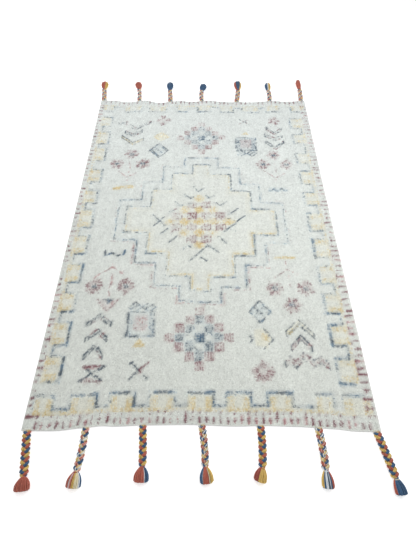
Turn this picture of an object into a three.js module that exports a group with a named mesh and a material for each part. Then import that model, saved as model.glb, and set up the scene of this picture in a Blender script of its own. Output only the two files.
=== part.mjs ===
// A hand-tufted area rug, lying flat with its pile up, with seven plaited tassels at each short end.
// Millimetres, +X across the rug, +Y along it towards the far end, +Z up from the floor.

import * as THREE from 'three';

// Rug: canvas, latex and low pile in one sheet, rounded down at its hem
const rugWidth = 1206;
const rugLength = 1800;
const rugThickness = 8;
const sideWaist = 3;
const pileSwell = { height: 0.6, across: 67, acrossDrift: 210, along: 83, alongDrift: 190 };
const acrossPitch = 42;
const alongPitch = 74;
const hemProfile = [
  { inset: 0, share: 0.42 },
  { inset: 3, share: 0.8 },
  { inset: 12, share: 0.97 },
];
const underInset = 2;
const gap = 0.3;

// How far each end's hem is drawn in from a straight cut, a row for each bend of the edge
const frontHem = [
  { across: -603, drawnIn: 3 },
  { across: -495, drawnIn: 1 },
  { across: -390, drawnIn: 11 },
  { across: -340, drawnIn: 17 },
  { across: -290, drawnIn: 14 },
  { across: -210, drawnIn: 18 },
  { across: -42, drawnIn: 19 },
  { across: 126, drawnIn: 13 },
  { across: 207, drawnIn: 15 },
  { across: 330, drawnIn: 11 },
  { across: 429, drawnIn: 5 },
  { across: 531, drawnIn: -5 },
  { across: 603, drawnIn: -6 },
];
const farHem = [
  { across: -603, drawnIn: -8 },
  { across: -536, drawnIn: -8 },
  { across: -441, drawnIn: 10 },
  { across: -335, drawnIn: -11 },
  { across: -262, drawnIn: 19 },
  { across: -198, drawnIn: 5 },
  { across: -133, drawnIn: -8 },
  { across: -80, drawnIn: 7 },
  { across: 36, drawnIn: -9 },
  { across: 110, drawnIn: 4 },
  { across: 170, drawnIn: 9 },
  { across: 204, drawnIn: 4 },
  { across: 282, drawnIn: 10 },
  { across: 353, drawnIn: 1 },
  { across: 430, drawnIn: -8 },
  { across: 480, drawnIn: 4 },
  { across: 530, drawnIn: -1 },
  { across: 603, drawnIn: -7 },
];

// Yarn colours
const navy = '#34507a';
const gold = '#dcb04a';
const terracotta = '#b8604a';
const cream = '#ddd5bf';
const groundColour = '#dadcd4';

// Plaits, left to right as seen from the front: where each leaves the hem, where its neck lies,
// how long it is, how far its middle bows to the side, and its width
const frontPlaits = [
  { across: -582, neck: -558, length: 138, bow: 0, width: 30 },
  { across: -388, neck: -396, length: 130, bow: 3, width: 27 },
  { across: -198, neck: -188, length: 125, bow: 1.5, width: 28 },
  { across: 1, neck: 13, length: 127, bow: 3, width: 27 },
  { across: 199, neck: 195, length: 126, bow: 3, width: 29 },
  { across: 393, neck: 397, length: 126, bow: 2, width: 29 },
  { across: 586, neck: 614, length: 140, bow: 1, width: 29 },
];
const farPlaits = [
  { across: -586, neck: -599, length: 109, bow: 0, width: 30 },
  { across: -377, neck: -388, length: 112, bow: 2, width: 26 },
  { across: -192, neck: -201, length: 109, bow: 0, width: 29 },
  { across: -8, neck: -8, length: 97, bow: -2, width: 27 },
  { across: 200, neck: 213, length: 109, bow: 0, width: 30 },
  { across: 395, neck: 396, length: 95, bow: 3, width: 27 },
  { across: 582, neck: 588, length: 109, bow: 0, width: 28 },
];

// Tassels in the same order: where the tip lies, its width there, its length and its main colour
const frontTassels = [
  { tip: -553, spread: 51, reach: 38, colour: terracotta },
  { tip: -397, spread: 50, reach: 45, colour: gold },
  { tip: -188, spread: 50, reach: 42.6, colour: terracotta },
  { tip: 19, spread: 45, reach: 45.5, colour: terracotta },
  { tip: 181, spread: 43, reach: 40.5, colour: gold },
  { tip: 395, spread: 41, reach: 49.5, colour: cream },
  { tip: 618, spread: 40, reach: 42.7, colour: navy },
];
const farTassels = [
  { tip: -600, spread: 46, reach: 50, colour: terracotta },
  { tip: -397, spread: 42, reach: 49, colour: terracotta },
  { tip: -201, spread: 42, reach: 54, colour: navy },
  { tip: 6, spread: 43, reach: 44, colour: navy },
  { tip: 211, spread: 46, reach: 70, colour: navy },
  { tip: 394, spread: 38, reach: 56, colour: cream },
  { tip: 584, spread: 30, reach: 70, colour: terracotta },
];

// Plait: three strands laid over each other, their lobes full and sunk by turns on the two sides
const plaitHeight = 16;
const rootHeight = 11;
const rootNarrowing = 0.9;
const neckWidth = 18;
const neckHeight = 12;
const taperRows = 2;
const lobePitch = 13.1;
const lobeLean = 10.8;
const plaitSection = [
  { across: 1, height: 0.5, rimSink: 2.8, topSink: 0 },
  { across: 0.78, height: 0.86, rimSink: 0, topSink: 2.1 },
  { across: 0.3, height: 1, rimSink: 0, topSink: 3 },
  { across: -0.3, height: 1, rimSink: 0, topSink: 3 },
  { across: -0.78, height: 0.86, rimSink: 0, topSink: 2.1 },
  { across: -1, height: 0.5, rimSink: 2.8, topSink: 0 },
  { across: -0.6, height: 0, rimSink: 0, topSink: 0 },
  { across: 0.6, height: 0, rimSink: 0, topSink: 0 },
];

// Tie: a thread wound round the neck between plait and tassel
const neckLift = 8.6;
const tieHalfWidth = 9;
const tieHalfHeight = 7.6;
const tieThread = 1.7;
const tieEdge = 0.4;
const tieLength = 3.2;
const roundSides = 10;

// Tassel: a short head below the tie, and locks that flare from it and lie on the floor
const headLength = 11;
const headHalfWidth = 12;
const headHalfHeight = 8.8;
const headLift = 9.1;
const lockSteps = 3;
const lockRows = [
  { count: 5, rootSpread: 12, rootFoot: 2.6, rootArch: 0.7, tipSpread: 1, tipFoot: 0 },
  { count: 5, rootSpread: 17, rootFoot: 7.2, rootArch: 0.4, tipSpread: 0.98, tipFoot: 9.6 },
  { count: 4, rootSpread: 12, rootFoot: 12, rootArch: -0.8, tipSpread: 0.76, tipFoot: 19.2 },
];
const lockSides = 4;
const lockRootSize = { width: 2.3, height: 2.8 };
const lockTipHeight = 8.4;
const lockTipShare = 0.178;
const lockTaper = 0.8;
const roundedCut = 0.16;
const rootTilt = 0.6;

const group = new THREE.Group();

function addPiece(name, geometry, colour, roughness) {
  const material = new THREE.MeshStandardMaterial({ color: colour, roughness, metalness: 0 });
  const mesh = new THREE.Mesh(geometry, material);
  mesh.name = name;
  group.add(mesh);
}

function mix(a, b, share) {
  return a + (b - a) * share;
}

// The value of a table's column at a place across the rug, eased between its rows
function eased(rows, across, column) {
  const next = rows.findIndex((row) => row.across > across);
  if (next === 0) return rows[0][column];
  if (next === -1) return rows[rows.length - 1][column];
  const before = rows[next - 1];
  const after = rows[next];
  const share = (across - before.across) / (after.across - before.across);
  return mix(before[column], after[column], (1 - Math.cos(Math.PI * share)) / 2);
}

function closedGeometry(points, triangles) {
  const geometry = new THREE.BufferGeometry();
  geometry.setAttribute('position', new THREE.Float32BufferAttribute(points.flat(), 3));
  geometry.setIndex(triangles.flat());
  return geometry;
}

// Joins each ring of points to the next with faces. Seen from the last ring, the points run
// counter-clockwise.
function bridgeRings(triangles, first, count, sides) {
  for (let ring = 0; ring < count - 1; ring += 1) {
    for (let side = 0; side < sides; side += 1) {
      const a = first + ring * sides + side;
      const b = first + ring * sides + (side + 1) % sides;
      triangles.push([a, b, b + sides], [a, b + sides, a + sides]);
    }
  }
}

// Skins a row of rings with equal numbers of points, and closes both ends
function skinRings(rings) {
  const sides = rings[0].length;
  const triangles = [];
  bridgeRings(triangles, 0, rings.length, sides);
  const last = (rings.length - 1) * sides;
  for (let side = 1; side < sides - 1; side += 1) {
    triangles.push([0, side + 1, side], [last, last + side, last + side + 1]);
  }
  return closedGeometry(rings.flat(), triangles);
}

function hemLine(end, across) {
  const drawnIn = eased(end < 0 ? frontHem : farHem, across, 'drawnIn');
  return end * (rugLength / 2 - drawnIn);
}

// Stations from one edge to the other: the hem's insets, then even steps
function stations(size, pitch) {
  const insets = hemProfile.map((row) => row.inset);
  const hemWidth = insets[insets.length - 1];
  const steps = Math.round((size - 2 * hemWidth) / pitch);
  const middle = [];
  for (let step = 1; step < steps; step += 1) middle.push(mix(hemWidth, size - hemWidth, step / steps));
  return [...insets, ...middle, ...insets.map((inset) => size - inset).reverse()];
}

const acrossStations = stations(rugWidth, acrossPitch);
const alongStations = stations(rugLength, alongPitch);

// The hem as the rug's own edges run: straight from station to station
function hemEdge(end, across) {
  const places = acrossStations.map((station) => station - rugWidth / 2);
  const next = places.findIndex((place) => place > across);
  const share = (across - places[next - 1]) / (places[next] - places[next - 1]);
  return mix(hemLine(end, places[next - 1]), hemLine(end, places[next]), share);
}

// The rug's height at a point: the hem's profile near an edge, and a slightly uneven pile inside it
function rugHeight(inset, across, along) {
  const hem = hemProfile.find((row) => inset <= row.inset);
  if (hem) return rugThickness * hem.share;
  const wave = pileSwell;
  const drift = Math.sin(across / wave.across + along / wave.acrossDrift);
  return rugThickness + wave.height * drift * Math.sin(along / wave.along - across / wave.alongDrift);
}

function buildRug() {
  const columns = acrossStations.length;
  const rows = alongStations.length;
  const points = [];
  for (const along of alongStations) {
    for (const station of acrossStations) {
      const waist = sideWaist * Math.sin((Math.PI * along) / rugLength);
      const across = (station - rugWidth / 2) * (1 - (2 * waist) / rugWidth);
      const y = mix(hemLine(-1, across), hemLine(1, across), along / rugLength);
      const inset = Math.min(station, rugWidth - station, along, rugLength - along);
      points.push([across, y, rugHeight(inset, across, along)]);
    }
  }
  const triangles = [];
  for (let row = 0; row < rows - 1; row += 1) {
    for (let column = 0; column < columns - 1; column += 1) {
      const a = row * columns + column;
      triangles.push([a, a + 1, a + columns + 1], [a, a + columns + 1, a + columns]);
    }
  }
  // The rim, counter-clockwise from above, and below it the flat underside
  const rim = [];
  for (let column = 0; column < columns - 1; column += 1) rim.push(column);
  for (let row = 0; row < rows - 1; row += 1) rim.push(row * columns + columns - 1);
  for (let column = columns - 1; column > 0; column -= 1) rim.push((rows - 1) * columns + column);
  for (let row = rows - 1; row > 0; row -= 1) rim.push(row * columns);
  const under = rim.map((index) => {
    const [x, y] = points[index];
    return [x - Math.sign(x) * Math.min(underInset, Math.abs(x)), y - Math.sign(y) * underInset, 0];
  });
  const firstUnder = points.length;
  points.push(...under);
  for (let step = 0; step < rim.length; step += 1) {
    const next = (step + 1) % rim.length;
    const a = firstUnder + step;
    const b = firstUnder + next;
    triangles.push([rim[step], a, b], [rim[step], b, rim[next]]);
  }
  const outline = under.map(([x, y]) => new THREE.Vector2(x, y));
  for (const [a, b, c] of THREE.ShapeUtils.triangulateShape(outline, [])) {
    triangles.push([firstUnder + a, firstUnder + c, firstUnder + b]);
  }
  return closedGeometry(points, triangles);
}

// The straight line that a plait is sewn along: a gap outside the furthest part of the hem behind it
function sewnLine(plait, end) {
  const half = plait.width / 2;
  const left = hemEdge(end, plait.across - half);
  const right = hemEdge(end, plait.across + half);
  const chord = (across) => mix(left, right, (across - plait.across + half) / plait.width);
  const behind = acrossStations
    .map((station) => station - rugWidth / 2)
    .filter((across) => Math.abs(across - plait.across) < half);
  const bulge = Math.max(0, ...behind.map((across) => end * (hemEdge(end, across) - chord(across))));
  return (across) => chord(across) + end * (gap + bulge);
}

// The plait's middle line in plan, from 0 at the hem to 1 at the neck
function plaitPath(plait, end) {
  const root = new THREE.Vector2(plait.across, sewnLine(plait, end)(plait.across));
  const fall = Math.sqrt(plait.length ** 2 - (plait.neck - plait.across) ** 2);
  const neck = new THREE.Vector2(plait.neck, root.y + end * fall);
  const line = neck.clone().sub(root);
  const side = new THREE.Vector2(-line.y, line.x).normalize();
  const at = (share) => {
    const bow = -end * plait.bow * Math.sin(Math.PI * share);
    return root.clone().addScaledVector(line, share).addScaledVector(side, bow);
  };
  return { at, neck };
}

// The tassel's direction from the neck to its tip
function tasselHeading(plait, end) {
  return new THREE.Vector2(plait.tip - plait.neck, end * plait.reach).normalize();
}

// The plait's rings, two to a lobe: on each side a full ring follows a sunk one, and the sides take turns
function buildPlait(plait, end) {
  const path = plaitPath(plait, end);
  const sewn = sewnLine(plait, end);
  const rows = 2 * Math.round(plait.length / lobePitch);
  const rings = [];
  for (let row = 0; row <= rows; row += 1) {
    const share = row / rows;
    const here = path.at(share);
    const onward = path.at(share + 1 / rows).sub(here).normalize();
    const heading = row < rows ? onward : tasselHeading(plait, end);
    const sideways = new THREE.Vector2(-heading.y, heading.x);
    const fromEnds = Math.min(row, rows - row, taperRows) / taperRows;
    const nearRoot = row < rows / 2;
    const endWidth = nearRoot ? plait.width * rootNarrowing : neckWidth;
    const endHeight = nearRoot ? rootHeight : neckHeight;
    const width = mix(endWidth, plait.width, fromEnds);
    const height = mix(endHeight, plaitHeight, fromEnds);
    rings.push(plaitSection.map((corner) => {
      const full = (row + (corner.across > 0 ? 1 : 0)) % 2 === 0;
      const sunk = full ? 0 : fromEnds;
      const across = corner.across * (width / 2 - corner.rimSink * sunk);
      const lift = corner.height * height - corner.topSink * sunk;
      const lean = lobeLean * (1 - Math.abs(corner.across)) * fromEnds;
      const spot = here.clone().addScaledVector(sideways, across).addScaledVector(heading, lean);
      const y = row === 0 ? sewn(spot.x) : spot.y;
      return [spot.x, y, lift];
    }));
  }
  return skinRings(rings);
}

// A frame at the neck: points on it are given along the tassel, across it and up
function tasselFrame(plait, end) {
  const { neck } = plaitPath(plait, end);
  const along = tasselHeading(plait, end);
  const across = new THREE.Vector2(-along.y, along.x);
  return (s, a, z) => {
    const spot = neck.clone().addScaledVector(along, s).addScaledVector(across, a);
    return [spot.x, spot.y, z];
  };
}

function ovalRing(place, s, halfWidth, halfHeight, lift) {
  const ring = [];
  for (let side = 0; side < roundSides; side += 1) {
    const turn = (2 * Math.PI * side) / roundSides;
    ring.push(place(s, halfWidth * Math.cos(turn), lift + halfHeight * Math.sin(turn)));
  }
  return ring;
}

// The tie is a ring: the outside of the winding, and the bore that the neck passes through
function buildTie(plait, end) {
  const place = tasselFrame(plait, end);
  const corners = [
    { s: gap, inset: tieThread },
    { s: gap, inset: tieEdge },
    { s: gap + tieLength / 2, inset: 0 },
    { s: gap + tieLength, inset: tieEdge },
    { s: gap + tieLength, inset: tieThread },
  ];
  const points = [];
  const triangles = [];
  corners.forEach(({ s, inset }, corner) => {
    points.push(...ovalRing(place, s, tieHalfWidth - inset, tieHalfHeight - inset, neckLift));
    const here = corner * roundSides;
    const following = ((corner + 1) % corners.length) * roundSides;
    for (let side = 0; side < roundSides; side += 1) {
      const next = (side + 1) % roundSides;
      triangles.push([here + side, here + next, following + next]);
      triangles.push([here + side, following + next, following + side]);
    }
  });
  return closedGeometry(points, triangles);
}

// One lock's rings: a four-sided strand that widens from the head, bells out and ends in a blunt cut.
// The lowest row of locks lies on the floor, and the rows above lie over it.
function lockRings(place, plait, row, order) {
  const offset = order / (row.count - 1) - 0.5;
  const rootAcross = offset * row.rootSpread;
  const tipWidth = plait.spread * lockTipShare;
  const tipAcross = offset * (plait.spread - tipWidth) * row.tipSpread;
  const reach = plait.reach * (1 - roundedCut * (2 * offset * row.tipSpread) ** 2);
  const rootFoot = row.rootFoot + row.rootArch * (2 * offset) ** 2 + rootTilt * offset;
  const rings = [];
  for (let step = 0; step <= lockSteps; step += 1) {
    const share = step / lockSteps;
    const bell = Math.sin((Math.PI / 2) * share);
    const s = mix(headLength, reach, share);
    const a = mix(rootAcross, tipAcross, bell);
    const half = mix(lockRootSize.width, tipWidth, share) / 2;
    const height = mix(lockRootSize.height, lockTipHeight, share);
    const foot = row.tipFoot === 0 && step > 0 ? 0 : mix(rootFoot, row.tipFoot, bell);
    rings.push([
      [s, a + half, foot],
      [s, a + half * lockTaper, foot + height],
      [s, a - half * lockTaper, foot + height],
      [s, a - half, foot],
    ]);
  }
  return rings;
}

// The head and its locks are one body: each lock grows out of its own patch of the head's face
function buildTassel(plait, end) {
  const place = tasselFrame(plait, end);
  const neckInset = tieThread + gap;
  const neck = { halfWidth: tieHalfWidth - neckInset, halfHeight: tieHalfHeight - neckInset };
  const headRows = [
    { s: gap, ...neck, lift: neckLift },
    { s: tieLength + 2 * gap, ...neck, lift: neckLift },
    { s: headLength, halfWidth: headHalfWidth, halfHeight: headHalfHeight, lift: headLift },
  ];
  const points = [];
  const triangles = [];
  for (const { s, halfWidth, halfHeight, lift } of headRows) {
    points.push(...ovalRing(place, s, halfWidth, halfHeight, lift));
  }
  bridgeRings(triangles, 0, headRows.length, roundSides);
  for (let side = 1; side < roundSides - 1; side += 1) triangles.push([0, side + 1, side]);

  const faceIndices = [];
  const faceSpots = [];
  const holes = [];
  for (let side = 0; side < roundSides; side += 1) {
    const turn = (2 * Math.PI * side) / roundSides;
    faceIndices.push((headRows.length - 1) * roundSides + side);
    const z = headLift + headHalfHeight * Math.sin(turn);
    faceSpots.push(new THREE.Vector2(headHalfWidth * Math.cos(turn), z));
  }
  for (const row of lockRows) {
    for (let order = 0; order < row.count; order += 1) {
      const rings = lockRings(place, plait, row, order);
      const first = points.length;
      points.push(...rings.flat().map(([s, a, z]) => place(s, a, z)));
      bridgeRings(triangles, first, rings.length, lockSides);
      const last = first + lockSides * lockSteps;
      triangles.push([last, last + 1, last + 2], [last, last + 2, last + 3]);
      holes.push(rings[0].map(([, a, z]) => new THREE.Vector2(a, z)));
      faceIndices.push(...rings[0].map((corner, index) => first + index));
    }
  }
  for (const [a, b, c] of THREE.ShapeUtils.triangulateShape(faceSpots, holes)) {
    triangles.push([faceIndices[a], faceIndices[b], faceIndices[c]]);
  }
  return closedGeometry(points, triangles);
}

// Seven plaits at one end, each with its tie and its tassel
function addTassels(side, end, plaits, tassels) {
  plaits.forEach((row, order) => {
    const plait = { ...row, ...tassels[order] };
    const tag = `${side}_${order + 1}`;
    addPiece(`plait_${tag}`, buildPlait(plait, end), gold, 0.9);
    addPiece(`tie_${tag}`, buildTie(plait, end), cream, 0.9);
    addPiece(`tassel_${tag}`, buildTassel(plait, end), plait.colour, 0.9);
  });
}

addPiece('rug', buildRug(), groundColour, 0.95);
addTassels('front', -1, frontPlaits, frontTassels);
addTassels('far', 1, farPlaits, farTassels);

// The origin is on the floor, at the middle of the whole
const box = new THREE.Box3().setFromObject(group);
const middle = box.getCenter(new THREE.Vector3());
group.position.set(-middle.x, -middle.y, -box.min.z);

export default group;
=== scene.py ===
import math

import bpy
import numpy as np
from mathutils import Matrix, Vector


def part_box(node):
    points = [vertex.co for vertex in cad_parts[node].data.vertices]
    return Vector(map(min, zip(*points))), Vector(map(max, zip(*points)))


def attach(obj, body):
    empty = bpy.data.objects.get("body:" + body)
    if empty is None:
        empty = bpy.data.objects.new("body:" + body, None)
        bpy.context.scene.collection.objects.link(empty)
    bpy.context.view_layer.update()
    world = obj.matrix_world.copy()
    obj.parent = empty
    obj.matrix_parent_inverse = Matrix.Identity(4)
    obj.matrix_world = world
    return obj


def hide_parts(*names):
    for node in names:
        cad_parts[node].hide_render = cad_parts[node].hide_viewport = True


# A hand-tufted wool rug lying flat, with seven plaited tassels at each short end.
# Blender works in metres. The tables are in millimetres from the rug's middle, +Y towards the far end.

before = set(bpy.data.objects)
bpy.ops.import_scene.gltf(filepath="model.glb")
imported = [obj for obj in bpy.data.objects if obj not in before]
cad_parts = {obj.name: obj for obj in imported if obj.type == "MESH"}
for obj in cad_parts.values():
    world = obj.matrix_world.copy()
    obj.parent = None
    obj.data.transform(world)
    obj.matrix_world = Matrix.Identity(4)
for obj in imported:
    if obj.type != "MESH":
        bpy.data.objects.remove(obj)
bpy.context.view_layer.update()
scene = bpy.context.scene
mm = 0.001
print("frame loaded:", len(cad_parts), "CAD nodes")


# Dyed wool

wool = {  # the colour of each yarn, as seen in plain light
    "ground": "#dee2e0",
    "warmGround": "#dfe2dd",
    "wash": "#ebe3c6",
    "slate": "#51626f",
    "blue": "#5d7d95",
    "haze": "#b3c6d0",
    "plum": "#8a5962",
    "rose": "#bd9294",
    "ochre": "#d9c58c",
    # the backing's grey, set as dark as its rim looks in shade: partly the canvas's own colour, partly
    # painted shade along the rug's edges
    "canvas": "#8c8c89",
    "navy": "#385a7c",
    "terracotta": "#ad5d4b",
    "brick": "#984a3e",
    "mustard": "#d1b163",
    "cream": "#dcd3b4",
    "white": "#d6dade",
    "pink": "#c8988f",
}


def linearColour(code):
    parts = [int(code[i:i + 2], 16) / 255 for i in (1, 3, 5)]
    return np.array([c / 12.92 if c <= 0.04045 else ((c + 0.055) / 1.055) ** 2.4 for c in parts])


dye = {name: linearColour(code) for name, code in wool.items()}


def mixed(a, b, share):
    return a + (b - a) * share


def eased(share):
    share = np.clip(share, 0, 1)
    return share * share * (3 - 2 * share)


def clouds(x, y, cellX, cellY, seed):  # soft patches from 0 to 1, cellX by cellY across
    size = 256
    lattice = np.random.default_rng(seed).random((size, size))
    u = x / cellX + size / 2
    v = y / cellY + size / 2
    i = np.floor(u).astype(int)
    j = np.floor(v).astype(int)
    near = mixed(lattice[i % size, j % size], lattice[(i + 1) % size, j % size], eased(u - i))
    beyond = mixed(lattice[i % size, (j + 1) % size], lattice[(i + 1) % size, (j + 1) % size], eased(u - i))
    return mixed(near, beyond, eased(v - j))


# The rug's outline, taken from its CAD node

rug = {
    "width": 1206,
    "length": 1800,
    "sideWaist": 3,  # how far each long side is drawn in at its middle
    "farLead": 2.5,  # the far hem reaches this much further than the front one
    "hemBand": 40,  # the CAD node's outermost points lie within this of an end
    "hemReach": 600,  # an end's unevenness dies away over this
    "hemStep": 5,
    "hemSmoothing": 11,  # steps
    "cell": 12,  # the canvas's grid
    "insets": [0, 1.2, 4, 8],  # and its closer lines beside the hem
    "edge": [(0, 5.0), (3, 7.0), (12, 7.7), (40, 7.9)],  # the pile's height at a distance from the edge
    "swell": 0.5,  # how uneven its height is, away from the edge
    "swellPatch": (160, 210),
    "swellEdge": 40,
    "canvasDrop": 2.8,  # how far the canvas lies below the pile's tips
    "canvasEdge": 4,  # it sinks so far over this
    "canvasLow": 1,
    "underInset": 2,
}
halfWide = rug["width"] / 2
halfLong = rug["length"] / 2
rugLow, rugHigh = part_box("rug")
middleX = (rugLow.x + rugHigh.x) / 2 / mm
middleY = (rugLow.y + rugHigh.y) / 2 / mm - rug["farLead"]
cadPoints = np.array([v.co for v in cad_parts["rug"].data.vertices]) / mm - [middleX, middleY, 0]


def hemOf(end):  # places across the rug, and how far the hem lies from the middle there
    upper = cadPoints[:, 2] > rug["underInset"]
    rim = cadPoints[upper & (end * cadPoints[:, 1] > halfLong - rug["hemBand"])]
    places = np.unique(np.round(rim[:, 0]))
    reach = [np.abs(rim[np.abs(rim[:, 0] - place) < 1, 1]).max() for place in places]
    step = rug["hemStep"]
    fine = np.arange(-halfWide, halfWide + step, step)
    window = np.hanning(rug["hemSmoothing"])
    padded = np.pad(np.interp(fine, places, reach), len(window) // 2, mode="edge")
    return fine, np.convolve(padded, window / window.sum(), mode="valid")


frontHem = hemOf(-1)
farHem = hemOf(1)


def hemAt(end, x):
    return end * np.interp(x, *(frontHem if end < 0 else farHem))


def layOut(s, t):  # a place on the rug as it was cut, to its place as it lies
    x = s * (1 - 2 * rug["sideWaist"] / rug["width"] * np.cos(np.pi * t / rug["length"]))
    near = np.clip(1 - (halfLong + t) / rug["hemReach"], 0, 1) ** 2
    far = np.clip(1 - (halfLong - t) / rug["hemReach"], 0, 1) ** 2
    y = t + (halfLong + hemAt(-1, x)) * near - (halfLong - hemAt(1, x)) * far
    return x, y


def insetOf(s, t):
    return np.minimum(halfWide - np.abs(s), halfLong - np.abs(t))


def pileHeight(s, t):
    inset = insetOf(s, t)
    insets, heights = zip(*rug["edge"])
    swell = rug["swell"] * (clouds(s, t, *rug["swellPatch"], 3) - 0.5) * eased(inset / rug["swellEdge"])
    return np.interp(inset, insets, heights) + swell


# The pattern: marks of dyed wool, charted one by one, in the order that they lie over each other

pattern = {
    "across": 3,  # the chart's middle lies this far to the right of the rug's
    "edgeSoftness": 1.6,  # how gradually a mark ends
    "wobble": 2.4,  # how far a straight line wanders
    "wobblePatches": (26, 90),
    "farFade": 0.88,  # how much of the dye shows at the far end, of that in front
    "patchyWear": 0.4,  # how much the wear differs from place to place
    "wearPatch": (75, 95),
    "fullHold": 0.35,  # a patch with this much wear holds its dye in full
    "strongest": 0.95,
    "dyed": (0.74, 0.2),  # the colour a dyed tuft takes on, and how much more for a strong mark
    "piece": 16,  # a worn line falls into strokes about this long
    "pieceEnd": (0.75, 1.1),  # where a stroke ends, how far it drifts, and its width and share, at random
    "pieceDrift": (-1.3, 1.3),
    "pieceWidth": (0.7, 1.25),
    "pieceShare": (0.45, 1.2),
    # dye left in the worn wool
    "stain": {"haze": 0.4, "blue": 0.18, "slate": 0.1, "wash": 0.5, "ochre": 0.22},
    "faintStain": 0.12,
}
marks = []
chart = np.random.default_rng(5)
between = chart.uniform


def stroke(yarn, points, width, share, even=False):
    points = np.array(points, float)
    marks.append({"yarn": yarn, "points": points, "width": width, "share": share, "even": even})


def patch(yarn, points, share, even=False):
    stroke(yarn, points, 0, share, even)


def block(yarn, x, y, wide, tall, share, even=False):
    a, b = wide / 2, tall / 2
    patch(yarn, [(x - a, y - b), (x + a, y - b), (x + a, y + b), (x - a, y + b)], share, even)


def lozenge(x, y, wide, tall):
    return [(x - wide / 2, y), (x, y + tall / 2), (x + wide / 2, y), (x, y - tall / 2), (x - wide / 2, y)]


def walk(yarns, points, width, share, skip=0.12):
    # a line of short strokes, each of one of the yarns, some of them worn away
    names = yarns.split()
    for (ax, ay), (bx, by) in zip(points[:-1], points[1:]):
        pieces = max(1, round(math.hypot(bx - ax, by - ay) / pattern["piece"]))
        for piece in range(pieces):
            if chart.random() < skip:
                continue
            start, stop = piece / pieces, (piece + between(*pattern["pieceEnd"])) / pieces
            drift = between(*pattern["pieceDrift"], 2)
            ends = [(mixed(ax, bx, e) + drift[0], mixed(ay, by, e) + drift[1]) for e in (start, stop)]
            yarn = names[chart.integers(len(names))]
            drawnWidth = width * between(*pattern["pieceWidth"])
            stroke(yarn, ends, drawnWidth, share * between(*pattern["pieceShare"]))


def inked(points, share, width, skip, halo=0.08):
    # a dark line over a faint wide one
    walk("haze", points, 13, halo, 0.1)
    walk("slate slate blue", points, width, share, skip)


def hatched(line, drop, share, fill, fillShare, yarns="slate slate plum"):
    # a bent band between a line and the same line moved down, ruled along both and speckled inside
    under = [(a, b - drop) for a, b in line]
    patch(fill, line + under[::-1], fillShare)
    walk(yarns, line, 6, share, 0.08)
    walk(yarns, under, 5.5, share * 0.9, 0.14)
    for a, b in (line[0], line[-1]):
        stroke("slate", [(a, b), (a, b - drop)], 5.5, share)


# Centre: a stepped medallion in two outlines, with a lattice of crosses and squares
medallion = {
    "centre": (-10, -3),
    "skew": -0.031,  # how much the whole figure falls towards the right
    # each step's half width, and how high it reaches
    "inner": [(43, 368), (148, 301), (240, 190), (351, 76)],
    "outer": [(86, 417), (194, 348), (285, 238), (389, 118)],
    "goldInset": 10,
    "roseOutset": 11,
    "glowInset": 30,
    "latticePitch": 67,
    "latticeCentre": (-19, -8),
}


def steppedOutline(steps, inset=0):
    corners = []
    for row, (wide, tall) in enumerate(steps):
        corners.append((wide - inset, tall - inset))
        if row + 1 < len(steps):
            corners.append((wide - inset, steps[row + 1][1] - inset))
    right = corners + [(a, -b) for a, b in reversed(corners)]
    whole = right + [(-a, b) for a, b in reversed(right)]
    x, y = medallion["centre"]
    placed = [(x + a, y + b + medallion["skew"] * a) for a, b in whole]
    return placed + placed[:1]


def fading(line, yarns, width, below, lowLook, highLook):
    # an outline that shows more where it lies below a level
    for a, b in zip(line[:-1], line[1:]):
        walk(yarns, [a, b], width, *(lowLook if (a[1] + b[1]) / 2 < below else highLook))


def drawMedallion():
    inner = steppedOutline(medallion["inner"])
    outer = steppedOutline(medallion["outer"])
    patch("haze", outer, 0.04, True)
    patch("ground", inner, 0.9, True)
    patch("wash", inner, 0.12, True)
    patch("ground", steppedOutline(medallion["inner"], medallion["glowInset"]), 0.55, True)
    gold = steppedOutline(medallion["inner"], medallion["goldInset"])
    fading(gold, "ochre", 7, -40, (0.6, 0.2), (0.24, 0.3))
    rose = steppedOutline(medallion["outer"], -medallion["roseOutset"])
    fading(rose, "rose plum", 5, -90, (0.55, 0.3), (0.16, 0.5))
    inked(inner, 0.82, 5.5, 0.1, 0.1)
    walk("haze", outer, 14, 0.11, 0.05)
    walk("slate blue blue", outer, 5.5, 0.66, 0.16)


# How strongly each piece of the lattice shows, in hundredths, by its place in steps from the middle
lattice = {
    "gold": [
        (0, 2, 42), (-1, 1, 30), (0, 1, 58), (1, 1, 24), (-2, 0, 30), (-1, 0, 56), (0, 0, 62),
        (1, 0, 42), (2, 0, 56), (-1, -1, 32), (0, -1, 60), (1, -1, 10), (0, -2, 55),
    ],
    "plum": [
        (-0.5, 1.5, 32), (0.5, 1.5, 62), (-1.5, 0.5, 42), (-0.5, 0.5, 78), (0.5, 0.5, 42),
        (1.5, 0.5, 70), (-1.5, -0.5, 55), (-0.5, -0.5, 34), (0.5, -0.5, 88), (1.5, -0.5, 55),
        (-0.5, -1.5, 58), (0.5, -1.5, 78),
    ],
}
dashes = [  # dark dashes round the lattice: from, to, and how strongly each shows, in hundredths
    (-49, 212, -24, 176, 60), (-24, 176, 10, 206, 55), (-90, 161, -60, 132, 60),
    (-60, 132, -46, 142, 70), (10, 153, 28, 136, 50), (28, 136, 52, 147, 60), (62, 106, 80, 92, 60),
    (84, 92, 112, 109, 65), (116, 32, 166, 70, 70), (96, -64, 152, -18, 60), (152, -14, 196, 26, 95),
    (-232, 31, -176, -30, 90), (-181, 20, -228, -32, 85), (-194, -79, -158, -46, 85),
    (-150, -125, -118, -94, 95), (-135, 112, -104, 84, 50), (-108, 84, -96, 93, 50),
    (-161, 42, -140, 60, 40), (-66, -142, -88, -166, 55), (-66, -142, -50, -158, 50),
    (80, -104, 104, -134, 75), (20, -140, 68, -180, 80), (20, -142, -34, -200, 60),
    (-36, -204, -62, -228, 60), (-10, -204, 18, -226, 90), (127, -54, 150, -64, 40),
    (-128, 96, -116, 86, 40),
]
dots = [
    (-132, 66), (-195, 58), (-141, -67), (58, 106), (149, -2), (68, -96), (-106, -96), (120, 8), (-64, 100),
]


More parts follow.
